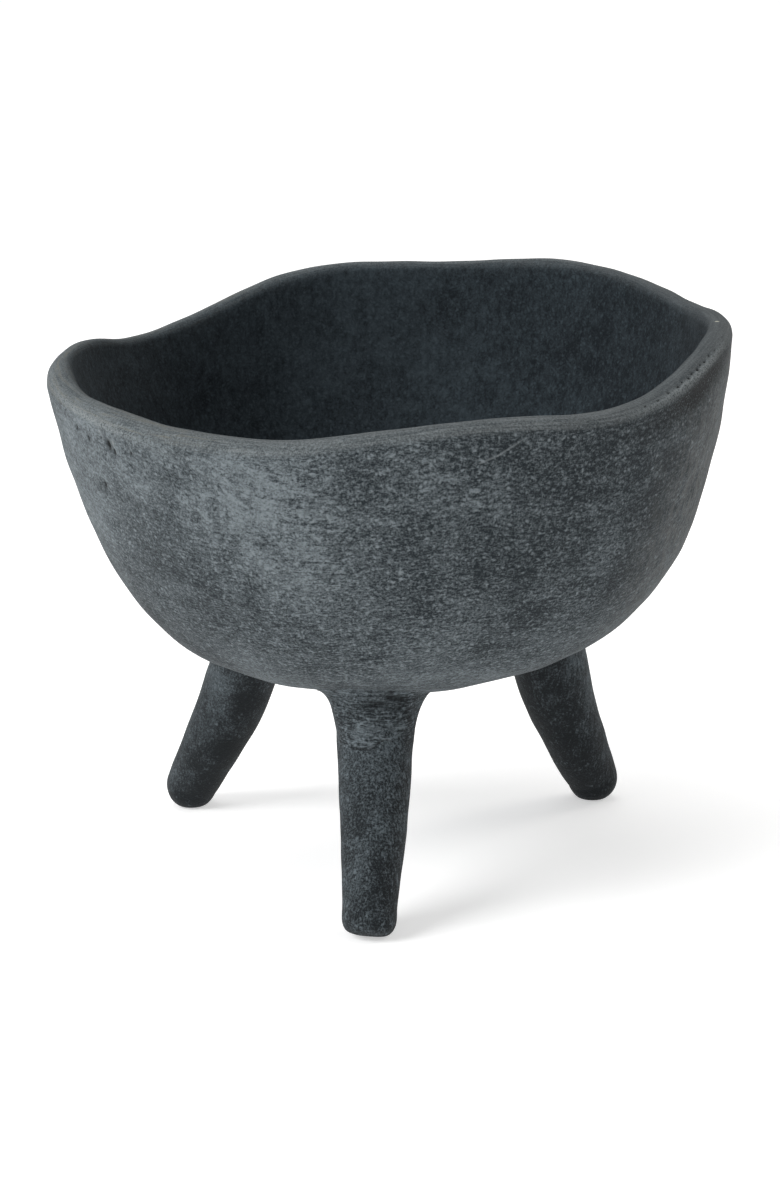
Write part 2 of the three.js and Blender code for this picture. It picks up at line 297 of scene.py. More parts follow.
def lip_relief(azimuth, across):
    """Height added by the worked rim, and how much of a ridge, of the undercut and of a pit each point is.

    The pit shading is positive for painted shade in a pit and negative at a painted highlight by its edge."""
    relief, ridge, pit_shading = np.zeros_like(across), np.zeros_like(across), np.zeros_like(across)
    for at, spread, place, slant in RIM_RIDGES:
        apart = angle_from(azimuth, at)
        past = across - place - slant * apart
        here = bell(apart, 0, spread)
        crest = bell(past, 0.0, RIDGE_WIDTH)
        relief += RIDGE_HEIGHT * here * (crest - GROOVE_SHARE * bell(past, GROOVE_PLACE, GROOVE_WIDTH))
        ridge += here * crest
    at, spread, place, width = UNDERCUT
    undercut = bell(angle_from(azimuth, at), 0, spread) * bell(across, place, width)
    relief -= UNDERCUT_DEPTH * undercut
    for at, place, radius, depth in LIP_PITS:
        sideways = np.radians(angle_from(azimuth, at)) * CURVE_RADIUS
        apart = np.hypot(sideways, (across - place) * PIT_SHORTNESS)
        relief -= depth * bell(apart, 0, radius)
        pit_shading += bell(apart, 0, PIT_SHADE_SHARE * radius)
    for at, place, radius in PIT_HIGHLIGHTS:
        sideways = np.radians(angle_from(azimuth, at)) * CURVE_RADIUS
        pit_shading -= PIT_HIGHLIGHT_SHARE * bell(np.hypot(sideways, across - place), 0, radius)
    return relief, ridge, undercut, pit_shading


def make_bowl():
    """The bowl, with its unevenness, its worked rim and the numbers that its clay is painted by."""
    azimuth = bowl_columns()
    section, across = bowl_section(azimuth)
    rings = stand_up(section, azimuth[None, :])
    normal = normals_of(rings)
    azimuths = np.broadcast_to(azimuth, across.shape)
    at, spread, depth, drop = PINCH
    pinch = depth * bell(angle_from(azimuths, at), 0, spread) * bell(across, 0, drop)
    outward = np.stack([np.cos(azimuths), np.sin(azimuths), np.zeros_like(azimuths)], -1)
    shape = UNEVENNESS * lumps(rings, *BROAD_LUMPS)
    shape = shape + SMALL_LUMP_SHARE * UNEVENNESS * lumps(rings, *SMALL_LUMPS)
    relief, ridge, undercut, pit_shading = lip_relief(azimuths, across)
    rings = rings + normal * (shape + relief)[..., None] - outward * pinch[..., None]
    for at, spread, rise in RIM_TOUCHES:
        here = bell(angle_from(azimuths, at), 0, spread) * bell(across, TOUCH_PLACE, TOUCH_WIDTH)
        rings[..., 2] += rise * here
    vertices, faces = capped(rings, rings[0].mean(0), rings[-1].mean(0))
    inside = np.clip((across - INSIDE_START) / INSIDE_OVER, 0, 1)
    # Each attribute's numbers on the rings, then on the middle of the underside and of the floor
    painted_by = {
        "inside": (inside, 0, 1),
        "across_lip": (across, across[0].mean(), across[-1].mean()),
        "ridge": (ridge, 0, 0),
        "undercut": (undercut, 0, 0),
        "pit_shading": (pit_shading, 0, 0),
    }
    return smooth_mesh("clay_bowl", vertices, faces, {
        label: np.concatenate([values.ravel(), ends]) for label, (values, *ends) in painted_by.items()})


# ---- The legs ---------------------------------------------------------------------------------------
class Leg:
    """One tapering leg, from its foot to inside the bowl's wall."""

    def __init__(self, name):
        foot, joint, self.bow, self.taper, self.squareness, self.sole_rise = LEGS[name]
        (foot_at, azimuth, self.foot), (joint_at, joint_azimuth, self.joint) = foot, joint
        self.ankle = polar(foot_at, azimuth, ANKLE_RATIO * self.foot) + AXIS_AT
        joint = polar(joint_at, joint_azimuth, JOINT_HEIGHT) + AXIS_AT
        self.length = np.linalg.norm(joint - self.ankle)
        self.axis = (joint - self.ankle) / self.length
        self.across = unit(np.cross(self.axis, polar(1, azimuth, 0)))
        self.outward = np.cross(self.across, self.axis)

    def radius(self, along):
        """Radius at a distance from the ankle."""
        share = np.clip(along / self.length, 0, 1)
        return self.joint - (self.joint - self.foot) * (1 - share) ** self.taper

    def point(self, along, angle, radius):
        """The point at a distance along the leg, and a direction and radius round its bowed middle."""
        share = np.clip(along / self.length, 0, 1)
        swell = 4 * share * (1 - share)
        x = self.bow[0] * swell + radius * np.cos(angle)
        y = self.bow[1] * swell + radius * np.sin(angle)
        sideways = x[..., None] * self.outward + y[..., None] * self.across
        return self.ankle + sideways + along[..., None] * self.axis

    def meets_bowl(self, angle):
        """Distance along the leg at which its side meets the bowl's outside."""
        along = np.full_like(angle, self.length)
        for _ in range(MEETING_STEPS):
            point = self.point(along, angle, self.radius(along))
            along = along + (outside_height(point[..., :2]) - point[..., 2]) * MEETING_PACE
        return along


# Unevenness of a leg: depth, sizes of its broad and its small lumps, share and seed step of the small ones
LEG_UNEVENNESS, LEG_BROAD_LUMP, LEG_SMALL_LUMP, LEG_SMALL_SHARE, SMALL_SEED_STEP = 0.2, 24, 9, 0.4, 40
LEVEL_FOOT = 4.0     # height over which the unevenness fades out towards the floor
LEG_SEEDS = {"front": 21, "left": 22, "right": 23}
SINK_INTO_WALL = 2.5
SOLE_FLAT = 5.0      # how far past the ankle a tilted sole starts to rise
SOLE_EDGE = 0.25     # softness of the edge between the sole and the side of a foot


def make_leg(name):
    """A leg, from the tip of its rounded foot to inside the bowl's wall."""
    leg = Leg(name)
    angle = np.linspace(0, 2 * math.pi, LEG_COLUMNS, endpoint=False)
    rings = []
    power = 2 / leg.squareness      # rounds the foot off: 1 is a ball, less is squarer
    for turn in np.linspace(0, math.pi / 2, FOOT_ROWS + 1)[1:]:
        along = -leg.foot * math.cos(turn) ** power
        size = leg.foot * max(math.sin(turn), 1e-6) ** power
        rings.append(leg.point(np.full_like(angle, along), angle, np.full_like(angle, size)))
    end = leg.meets_bowl(angle) + SINK_INTO_WALL
    for share in np.linspace(0, 1, LEG_ROWS + 1)[1:]:
        along = end * share
        rings.append(leg.point(along, angle, leg.radius(along)))
    rings = np.array(rings)
    normal = normals_of(rings)
    seed = LEG_SEEDS[name]
    small = lumps(rings, seed + SMALL_SEED_STEP, LEG_SMALL_LUMP)
    bumps = LEG_UNEVENNESS * (lumps(rings, seed, LEG_BROAD_LUMP) + LEG_SMALL_SHARE * small)
    bumps *= np.clip(rings[..., 2] / LEVEL_FOOT, 0, 1)
    rings = rings + normal * bumps[..., None]
    sole = np.maximum(leg.sole_rise * (leg.ankle[0] + SOLE_FLAT - rings[..., 0]), 0)
    rings[..., 2] = sole + SOLE_EDGE * np.logaddexp(0, (rings[..., 2] - sole) / SOLE_EDGE)
    vertices, faces = capped(rings, rings[0].mean(0), rings[-1].mean(0))
    return smooth_mesh(name + "_clay_leg", vertices, faces)


# ---- The coils of clay smoothed round the leg joints --------------------------------------------------
# Strokes of a tool across the front of the joint: start, end, half width, depth
SCORES = (
    ((-5.5, -57.3, 62.2), (0.8, -56.6, 61.0), 0.5, 0.5),
    ((0.2, -55.9, 63.2), (7.4, -54.0, 61.6), 0.55, 0.55),
    ((3.0, -55.6, 60.4), (8.6, -53.2, 60.6), 0.4, 0.4),
    ((-9.5, -56.4, 61.4), (-5.2, -58.0, 60.2), 0.4, 0.35),
)
SCORE_SPREAD, SCORE_SHADE_SPREAD = 2, 1.6    # of the hollow and of its painted shade line, in half widths
SCORE_SHALLOWING = 0.5                       # how much shallower a stroke is at its end
BURR_SHARE, BURR_PLACE = 0.4, 2.6            # clay pushed up beside a stroke


def scored(points):
    """How deep each point is in a tool stroke, and the share of a stroke's middle that it is."""
    depth, share = np.zeros(points.shape[:-1]), np.zeros(points.shape[:-1])
    for start, end, width, deepest in SCORES:
        start, end = np.array(start), np.array(end)
        along = np.clip((points - start) @ (end - start) / np.sum((end - start) ** 2), 0, 1)
        apart = np.linalg.norm(points - start - along[..., None] * (end - start), axis=-1)
        here = bell(apart, 0, width * SCORE_SPREAD) * (1 - SCORE_SHALLOWING * along)
        depth += deepest * here - BURR_SHARE * deepest * bell(apart, BURR_PLACE * width, width)
        # The share of a stroke's middle takes painted shade
        share += bell(apart, 0, width * SCORE_SHADE_SPREAD)
    return depth, share


# name: reach over the bowl, drop down the leg, the turns of its two lopsided waves, and the extra
# fullness of its two sides
COIL_SHAPES = {
    "front": (5.2, 14.0, 0.3, 2.2, 0.4),
    "left": (5.2, 6.2, 0.6, 1.1, 0.0),
    "right": (5.2, 6.2, -0.5, 0.8, 0.0),
}
COIL_WAVES = (0.18, 0.1, 0.06)               # how lopsided a coil is: waves of 1, 3 and 7 round it
COIL_EDGE = 0.15                             # how far its two edges run into the leg and the bowl
COIL_BACK = 1.6                              # how far it runs into the corner behind it
COIL_UNEVENNESS, COIL_LUMP, COIL_SEED_STEP = 0.22, 9, 7


def make_coil(name):
    """A coil of clay smoothed into the corner between a leg and the bowl."""
    leg = Leg(name)
    spread, drop, turn, swing, fullness = COIL_SHAPES[name]
    angle = np.linspace(0, 2 * math.pi, COIL_COLUMNS, endpoint=False)
    one, three, seven = COIL_WAVES
    vary = 1 + one * np.cos(angle + turn) + three * np.cos(3 * angle + swing) + seven * np.cos(7 * angle)
    meets = leg.meets_bowl(angle)
    corner = leg.point(meets, angle, leg.radius(meets))
    low = leg.point(meets - drop * vary, angle, leg.radius(meets - drop * vary) - COIL_EDGE)
    away = unit((corner - leg.ankle) - ((corner - leg.ankle) @ leg.axis)[:, None] * leg.axis)
    reach = corner + away * (spread * vary)[:, None]
    reach[:, 2] = outside_height(reach[:, :2]) + COIL_EDGE
    behind = corner - away * COIL_BACK
    behind[:, 2] = outside_height(behind[:, :2]) + COIL_BACK
    up = np.linspace(0, 1, COIL_ROWS)[:, None, None]
    rings = (1 - up) ** 2 * low + 2 * (1 - up) * up * corner + up * up * reach
    bumps = COIL_UNEVENNESS * lumps(rings, LEG_SEEDS[name] + COIL_SEED_STEP, COIL_LUMP)
    body = np.sin(math.pi * up[..., 0]) * (bumps + fullness * np.sin(angle) ** 2)
    depth, share = scored(rings)
    rings = rings + (body - depth)[..., None] * normals_of(rings)
    rings = np.concatenate([rings, [behind]])
    share = np.concatenate([share, np.zeros((1, COIL_COLUMNS))])
    faces = grid_faces(len(rings), COIL_COLUMNS).tolist()
    last = (len(rings) - 1) * COIL_COLUMNS
    for column in range(COIL_COLUMNS):
        after = (column + 1) % COIL_COLUMNS
        faces.append((last + column, last + after, after, column))
    return smooth_mesh(name + "_clay_coil", rings.reshape(-1, 3), faces, {"scored": share.ravel()})


# ---- Materials --------------------------------------------------------------------------------------
def linear(value):
    """A screen value, 0 to 255, as linear light."""
    value = value / 255
    return value / 12.92 if value <= 0.04045 else ((value + 0.055) / 1.055) ** 2.4


def colour(red, green, blue):
    """A screen colour, 0 to 255, as linear light."""
    return linear(red), linear(green), linear(blue), 1.0


# Darkest and palest clay of each surface
WALL_TONES = colour(17, 26, 31), colour(113, 121, 125)
INNER_TONES = colour(13, 22, 28), colour(56, 66, 72)
LIP_TONES = colour(54, 61, 64), colour(132, 137, 138)
LEG_TONES = colour(10, 17, 21), colour(92, 101, 106)
COIL_TONES = colour(13, 20, 24), colour(106, 115, 120)
# The browned lip's own tone, painted shade on the lip's right side and a painted highlight on the ridges
BROWNED_LIP_TONE, RIGHT_LIP_SHADE_TONE, RIDGE_HIGHLIGHT_TONE = colour(104, 98, 80), colour(58, 63, 66), colour(126, 132, 133)
# Painted warm light on the right side, painted shade in the undercut and painted shade in the tool strokes
WARM_LIGHT_TONE, UNDERCUT_SHADE_TONE, SCORE_SHADE_TONE = colour(104, 104, 102), colour(6, 11, 14), colour(12, 15, 17)
# A painted highlight at the pit edges and painted shade in the pits
PIT_HIGHLIGHT_TONE, PIT_SHADE_TONE = colour(136, 141, 141), colour(12, 14, 15)
SCRATCH_TONE, SPECK_TONE = colour(132, 138, 140), colour(190, 190, 176)
SPECULAR, SHEEN, SHEEN_ROUGHNESS, SHEEN_TONE = 0.25, 0.04, 0.6, colour(216, 216, 214)
BUMP_STRENGTH = 0.8
NOISE_MEAN, CURLS_MEAN = 0.5, 0.06      # mean values of the two kinds of noise

# Where the bowl's clay changes: where each change starts and where it is full and, where given, the values
# there. Along x (left and right) or z (height) in metres, or across the lip in millimetres.
# The wall takes painted shade towards its right and a painted highlight along its left edge
RIGHT_SHADE_X, LEFT_X, LEFT_EDGE_HIGHLIGHT_X = (0.01, 0.07), (-0.02, -0.055), (-0.065, -0.092)
LOW_Z, LOW_X = (0.100, 0.066), (-0.06, -0.02)
HIGH_ACROSS, HIGH_X = (-24.0, -11.0), (-0.022, -0.046)
PATCH_RIGHT, PATCH_LEFT = (-0.0125, -0.0190), (-0.050, -0.024)
PATCH_BOTTOM_Z, PATCH_TOP_Z = (0.086, 0.108), (0.145, 0.130, 0.35, 1.0)
SOFT_LEFT_X, SOFT_RIGHT_X = (-0.07, -0.01, 0.7, 0.92), (0.045, 0.085, 1.0, 0.7)
INNER_RIGHT_X, INNER_RIGHT_SHADE = (0.01, 0.08), -0.27
LIP_OUTER, LIP_INNER = (0.6, 3.0), (13.0, 6.5)
# The lip takes painted shade on its right side
BROWNED_X, LIP_RIGHT_SHADE_X = (-0.03, -0.06), (0.04, 0.08)
# Painted warm light on the right side of the wall
WARM_LIGHT_X, WARM_LIGHT_ACROSS = (0.066, 0.098), (2.0, -3.0)
# Scratches on the wall: start, end, half width in millimetres, strength
SCRATCHES = (
    ((24.8, -94.9, 137.8), (29.5, -94.2, 139.6), 0.2, 0.35),
    ((29.5, -94.2, 139.6), (36.5, -92.4, 144.1), 0.2, 0.35),
)
# Bright specks in the clay: centre, radius in millimetres
SPECKS = (((94.8, -11.6, 163.2), 0.45), ((-30.5, -86.0, 103.0), 0.3))

# Where the legs' clay changes or takes painted shade, as for the bowl; y runs from the front to the back
STREAKED_X, DRIPS_X, SOFT_BACK_Y = (-0.006, 0.004, 0.3, 1.2), (-0.008, 0.002), (-0.02, 0.02, 1.0, 0.6)
# Painted shade on the legs' inner sides, lower down the legs and on the front leg's right side
INNER_SIDE_SHADE, LEG_SPLAY = (0.071, 0.091), 0.52
LEG_SHADE_Z, FRONT_SHADE_X, FRONT_Y = (0.0, 0.07), (-0.004, 0.010), (0.02, -0.02)


class Paint:
    """A procedural material in the object's own coordinates."""

    def __init__(self, name):
        self.material = bpy.data.materials.new(name)
        self.material.use_nodes = True
        self.tree = self.material.node_tree
        self.shader = self.tree.nodes["Principled BSDF"]
        self.place = self.new("TexCoord").outputs["Object"]
        parts = self.new("SeparateXYZ")
        self.set(parts.inputs[0], self.place)
        self.x, self.y, self.z = parts.outputs

    def new(self, kind):
        """A new shader node."""
        return self.tree.nodes.new("ShaderNode" + kind)

    def set(self, socket, value):
        """Links a socket to another, or gives it a constant."""
        if isinstance(value, bpy.types.NodeSocket):
            self.tree.links.new(value, socket)
        else:
            socket.default_value = value

    def math(self, operation, a, b=0.0, clamp=False):
        node = self.new("Math")
        node.operation, node.use_clamp = operation, clamp
        self.set(node.inputs[0], a)
        self.set(node.inputs[1], b)
        return node.outputs[0]

    def times(self, first, *others):
        """The product of all the values."""
        for other in others:
            first = self.math("MULTIPLY", first, other)
        return first

    def sum(self, start, *weighted):
        """start plus each (value, its mean, weight) as (value - mean) * weight."""
        total = start - sum(mean * weight for _, mean, weight in weighted)
        for value, _, weight in weighted:
            total = self.math("ADD", self.times(value, weight), total)
        return total

    def vector(self, operation, a, b=(0, 0, 0), output="Vector"):
        node = self.new("VectorMath")
        node.operation = operation
        self.set(node.inputs[0], a)
        self.set(node.inputs[1], b)
        return node.outputs[output]

    def noise(self, size, detail, roughness, stretch=(1, 1, 1), turn=0.0, kind="FBM", where=None):
        """Noise whose features are about size millimetres, longer where stretch is above 1.

        turn is in degrees about y."""
        mapping = self.new("Mapping")
        mapping.vector_type = "TEXTURE"
        mapping.inputs["Rotation"].default_value = (0, math.radians(turn), 0)
        mapping.inputs["Scale"].default_value = stretch
        self.set(mapping.inputs["Vector"], where or self.place)
        node = self.new("TexNoise")
        self.set(node.inputs["Vector"], mapping.outputs[0])
        node.inputs["Scale"].default_value = 1 / (size * MM)
        node.inputs["Detail"].default_value = detail
        node.inputs["Roughness"].default_value = roughness
        node.noise_type = kind
        return node.outputs["Fac"]

    def grain(self, lie, where=None):
        """The felt-like grain of dry washed clay: fine speckle, curled hairs, and hairs that lie one way."""
        self.speckle = self.noise(0.5, 2, 0.8)
        self.curls = self.noise(1.15, 2, 0.9, kind="RIDGED_MULTIFRACTAL")
        self.hairs = self.noise(0.4, 3, 0.8, lie, where=where)
        self.wisps = self.noise(0.7, 2, 0.7, lie, kind="RIDGED_MULTIFRACTAL", where=where)

    def fade(self, value, start, end, low=0.0, high=1.0):
        """low at start, high at end, smooth between; start may be above end."""
        node = self.new("MapRange")
        node.interpolation_type = "SMOOTHSTEP"
        if start > end:
            start, end, low, high = end, start, high, low
        for socket, number in zip(node.inputs[1:5], (start, end, low, high)):
            socket.default_value = number
        self.set(node.inputs[0], value)
        return node.outputs[0]

    def mix(self, factor, a, b):
        node = self.new("Mix")
        node.data_type = "RGBA"
        for index, value in ((0, factor), (6, a), (7, b)):
            self.set(node.inputs[index], value)
        return node.outputs[2]

    def coat(self, base, tone, share, strength=1.0):
        """base with tone laid over it by share times strength, kept from 0 to 1."""
        return self.mix(self.math("MULTIPLY", share, strength, clamp=True), base, tone)

    def attribute(self, name):
        node = self.new("Attribute")
        node.attribute_name = name
        return node.outputs["Fac"]

    def with_height(self, value):
        """The object's own x and y with another third coordinate."""
        node = self.new("CombineXYZ")
        for socket, part in zip(node.inputs, (self.x, self.y, value)):
            self.set(socket, part)
        return node.outputs[0]

    def stroke(self, start, end, width):
        """1 close to the line from start to end, fading out to twice width from it; all in millimetres."""
        start, end = [tuple(v * MM for v in point) for point in (start, end)]
        span = tuple(b - a for a, b in zip(start, end))
        length = max(sum(v * v for v in span), 1e-12)
        away = self.vector("SUBTRACT", self.place, start)
        along = self.math("DIVIDE", self.vector("DOT_PRODUCT", away, span, "Value"), length, clamp=True)
        nearest = self.vector("SCALE", span)
        self.set(nearest.node.inputs["Scale"], along)
        apart = self.vector("LENGTH", self.vector("SUBTRACT", away, nearest), output="Value")
        return self.fade(apart, 2 * width * MM, 0.8 * width * MM)

    def finish(self, base, roughness, height, depth):
        """Sets the shader, with a bump of the given height and full depth in millimetres."""
        bump = self.new("Bump")
        bump.inputs["Strength"].default_value = BUMP_STRENGTH
        bump.inputs["Distance"].default_value = depth * MM
        self.set(bump.inputs["Height"], height)
        for name, value in (
                ("Normal", bump.outputs[0]), ("Base Color", base), ("Roughness", roughness),
                ("Specular IOR Level", SPECULAR), ("Sheen Weight", SHEEN),
                ("Sheen Roughness", SHEEN_ROUGHNESS), ("Sheen Tint", SHEEN_TONE)):
            self.set(self.shader.inputs[name], value)
        return self.material


class BowlPaint(Paint):
    """The clay of the bowl, outside, inside and on the lip."""

    def __init__(self):
        super().__init__("washed_clay")
        self.across = self.attribute("across_lip")
        # Coordinates in which the third runs down the wall, over the lip and down the inside
        unrolled = self.with_height(self.times(self.across, MM))
        self.grain((4, 4, 1), unrolled)
        self.clouds = self.noise(26, 4, 0.6)
        self.patches = self.noise(7, 3, 0.6)
        self.blots = self.noise(1.7, 3, 0.7, (1, 1, 1.6))
        self.drips = self.noise(1.6, 3, 0.7, (1, 1, 14))
        self.streaks = self.noise(2.4, 4, 0.75, (9, 9, 1), where=unrolled)
        self.scratches = self.noise(0.8, 3, 0.8, (26, 26, 0.8), where=unrolled)
        self.feathers = self.noise(1.0, 3, 0.75, (20, 20, 1), turn=6, where=unrolled)

    def rubbed_patch(self):
        """The patch rubbed pale: soft on its left, feathered by brush strokes on its right."""
        # x, slanted with height and made uneven by the small patches
        place = self.sum(0.0, (self.x, 0.0, 1.0), (self.z, 0.1, 0.3), (self.patches, NOISE_MEAN, 0.05))
        feathered = self.sum(
            0.0, (place, 0.0, 1.0), (self.feathers, NOISE_MEAN, 0.09), (self.streaks, NOISE_MEAN, 0.04))
        return self.times(
            self.fade(feathered, *PATCH_RIGHT), self.fade(place, *PATCH_LEFT),
            self.fade(self.z, *PATCH_BOTTOM_Z), self.fade(self.z, *PATCH_TOP_Z))

    def wall_wash(self):
        """How pale the washed clay of the outside is, from 0 to 1, with painted light and shade at its
        sides.
        """
        fine = self.sum(
            0.0, (self.speckle, NOISE_MEAN, 1.8), (self.curls, CURLS_MEAN, 1.4),
            (self.hairs, NOISE_MEAN, 2.4), (self.wisps, CURLS_MEAN, 0.7))
        fine = self.times(fine, self.fade(self.x, *SOFT_LEFT_X), self.fade(self.x, *SOFT_RIGHT_X))
        low = self.times(self.fade(self.z, *LOW_Z), self.fade(self.x, *LOW_X))
        high = self.times(self.fade(self.across, *HIGH_ACROSS), self.fade(self.x, *HIGH_X))
        wash = self.sum(
            0.33, (fine, 0.0, 1.0), (self.clouds, NOISE_MEAN, 0.9), (self.patches, NOISE_MEAN, 0.5),
            (self.streaks, NOISE_MEAN, 0.45), (self.feathers, NOISE_MEAN, 0.5),
            (self.rubbed_patch(), 0.0, 0.40), (low, 0.0, 0.15), (high, 0.0, 0.14),
            # Painted shade towards the right, and a painted highlight along the left edge
            (self.fade(self.x, *RIGHT_SHADE_X), 0.0, -0.12), (self.fade(self.x, *LEFT_X), 0.0, -0.06),
            (self.fade(self.x, *LEFT_EDGE_HIGHLIGHT_X), 0.0, 0.24))
        return self.fade(wash, -0.15, 1.3)

    def inner_clay(self):
        """The dark, less washed clay of the inside."""
        wash = self.sum(
            0.49, (self.speckle, NOISE_MEAN, 1.2), (self.curls, CURLS_MEAN, 1.2),
            (self.clouds, NOISE_MEAN, 0.7), (self.patches, NOISE_MEAN, 0.8),
            (self.streaks, NOISE_MEAN, 0.3), (self.blots, NOISE_MEAN, 1.6))
        shaded = self.times(self.fade(self.x, *INNER_RIGHT_X), INNER_RIGHT_SHADE)
        return self.mix(self.math("ADD", wash, shaded), *INNER_TONES)

    def with_lip(self, base):
        """Adds the paler, scratched lip, browned on its left, with painted shade and painted ridge
        highlights.
        """
        lip = self.times(self.fade(self.across, *LIP_OUTER), self.fade(self.across, *LIP_INNER))
        wash = self.sum(0.45, (self.scratches, NOISE_MEAN, 1.3), (self.speckle, NOISE_MEAN, 1.3))
        clay = self.mix(self.fade(wash, 0.0, 1.0), *LIP_TONES)
        browned = self.times(self.fade(self.scratches, 0.53, 0.60), self.fade(self.x, *BROWNED_X))
        clay = self.coat(clay, BROWNED_LIP_TONE, browned, 0.55)
        base = self.coat(base, clay, lip, 0.6)
        # Painted shade on the right side of the lip
        right = self.times(lip, self.fade(self.x, *LIP_RIGHT_SHADE_X))
        base = self.coat(base, RIGHT_LIP_SHADE_TONE, right, 0.4)
        # Painted highlight on the crests of the ridges
        ridge = self.times(self.attribute("ridge"), self.fade(self.speckle, 0.35, 0.55))
        return self.coat(base, RIDGE_HIGHLIGHT_TONE, ridge, 0.85)

    def with_warm_light(self, base):
        """Adds painted warm light, softly streaked, on the right side."""
        # x, moved so that the painted warm light follows the wall as it curves in below
        place = self.sum(0.0, (self.x, 0.0, 1.0), (self.z, 0.125, -0.35))
        warm_light = self.times(
            self.fade(place, *WARM_LIGHT_X), self.fade(self.drips, 0.30, 0.75),
            self.fade(self.across, *WARM_LIGHT_ACROSS))
        return self.coat(base, WARM_LIGHT_TONE, warm_light, 0.70)

    def with_marks(self, base):
        """Adds painted shade in the undercut and pits, painted pit highlights, the scratches and the specks.
        """
        # Painted shade in the undercut below the right ridge
        undercut = self.times(self.attribute("undercut"), self.fade(self.speckle, 0.72, 0.45))
        base = self.coat(base, UNDERCUT_SHADE_TONE, undercut, 1.4)
        # Painted shade in the pits and painted highlights at their edges
        pit_shading = self.attribute("pit_shading")
        base = self.coat(base, PIT_HIGHLIGHT_TONE, pit_shading, -1.2)
        base = self.coat(base, PIT_SHADE_TONE, pit_shading, 1.5)
        for start, end, width, strength in SCRATCHES:
            base = self.coat(base, SCRATCH_TONE, self.stroke(start, end, width), strength)
        for centre, radius in SPECKS:
            base = self.coat(base, SPECK_TONE, self.stroke(centre, centre, radius))
        return base


def bowl_material():
    """Charcoal clay with a brushed pale wash, and painted light and shade."""
    paint = BowlPaint()
    wash = paint.wall_wash()
    base = paint.mix(wash, *WALL_TONES)
    base = paint.mix(paint.attribute("inside"), base, paint.inner_clay())
    base = paint.with_marks(paint.with_warm_light(paint.with_lip(base)))
    height = paint.sum(
        0.5, (paint.speckle, NOISE_MEAN, 1.4), (paint.curls, CURLS_MEAN, 0.7),
        (paint.hairs, NOISE_MEAN, 1.2))
    return paint.finish(base, paint.fade(wash, 0.0, 1.0, 0.86, 0.97), height, 0.15)


def leg_material(name, tones, cloud_size, lie, brushed):
    """Clay with cloudy marks, painted shade, and hairs that lie one way, strong where brushed; 0 is not
    brushed.
    """
    paint = Paint(name)
    paint.grain(lie)
    clouds = paint.noise(cloud_size, 5, 0.65)
    streaked = paint.times(paint.wisps, paint.fade(paint.x, *STREAKED_X))
    drips = paint.math("SUBTRACT", paint.noise(1.3, 3, 0.7, (1, 1, 9)), NOISE_MEAN)
    drips = paint.times(drips, paint.fade(paint.x, *DRIPS_X))
    fine = paint.sum(
        0.0, (paint.speckle, NOISE_MEAN, 2.6 - brushed), (paint.curls, CURLS_MEAN, 1.3),
        (paint.hairs, NOISE_MEAN, 1.3 + brushed), (streaked, CURLS_MEAN, 1.0),
        (drips, 0.0, 0.3 if brushed else 1.4))
    fine = paint.times(fine, paint.fade(paint.y, *SOFT_BACK_Y))
    # Distance from the bowl's axis, levelled along the splay of the legs: small on their inner sides, which
    # take painted shade
    level = paint.vector("MULTIPLY", paint.vector("SUBTRACT", paint.place, tuple(AXIS_AT * MM)), (1, 1, 0))
    reach = paint.vector("LENGTH", level, output="Value")
    reach = paint.math("ADD", reach, paint.times(paint.z, LEG_SPLAY))
    # Painted shade on the front leg's right side
    front_right_shade = paint.times(paint.fade(paint.x, *FRONT_SHADE_X), paint.fade(paint.y, *FRONT_Y))
    # Painted shade on the legs' inner sides and lower down them
    wash = paint.sum(
        0.40 - 0.04 * brushed, (paint.fade(reach, *INNER_SIDE_SHADE), 1.0, 0.38), (fine, 0.0, 1.0),
        (clouds, NOISE_MEAN, 1.4), (paint.fade(paint.z, *LEG_SHADE_Z), 0.5, 0.23),
        (front_right_shade, 0.0, -0.10))
    wash = paint.fade(wash, -0.1, 1.25)
    # Painted shade along the tool strokes
    base = paint.coat(paint.mix(wash, *tones), SCORE_SHADE_TONE, paint.attribute("scored"), 0.8)
    height = paint.sum(
        0.5, (paint.speckle, NOISE_MEAN, 1.5), (paint.curls, CURLS_MEAN, 0.9),
        (paint.hairs, NOISE_MEAN, 1.0))
    return paint.finish(base, paint.fade(wash, 0.0, 1.0, 0.8, 0.93), height, 0.2)


# ---- Stage, light and camera ------------------------------------------------------------------------
FLOOR_TONE, STUDIO_RADIUS, FLOOR_CLEARANCE = 0.86, 14.0, 0.0002
# The floor's glow: distance from the middle where it starts and stops growing, and its two values
FLOOR_GLOW = (0.5, 3.0, 0.47, 0.72)
WORLD_LIGHT = 0.35
LIT_POINT = (0, 0, 0.1)
# Soft round lights: name, place, size, power, tint
LIGHTS = (
    ("key_left", (-1.4, -0.8, 1.15), 1.1, 27, (1, 1, 1)),
    ("top", (-0.2, 0.3, 1.9), 1.4, 14, (1, 1, 1)),
    ("right_back", (1.4, 0.9, 0.8), 0.7, 6, (1.0, 0.96, 0.91)),
)
CAMERA_AT = (0.00581, -0.81990, 0.2800)
CAMERA_TURN = (math.radians(76.17), 0.0, math.radians(0.361))
CAMERA_LENS, CAMERA_SENSOR, CAMERA_CLIP = 85, 36, (0.05, 50)


def stage_material(name, paleness, glow):
    """A matt pale surface that glows a little, like a lit studio table or sweep."""
    material = bpy.data.materials.new(name)
    material.use_nodes = True
    shader = material.node_tree.nodes["Principled BSDF"]
    shader.inputs["Base Color"].default_value = (paleness, paleness, paleness, 1)
    shader.inputs["Roughness"].default_value = 0.9
    shader.inputs["Specular IOR Level"].default_value = 0.1
    shader.inputs["Emission Color"].default_value = (1, 1, 1, 1)
    shader.inputs["Emission Strength"].default_value = glow
    return material


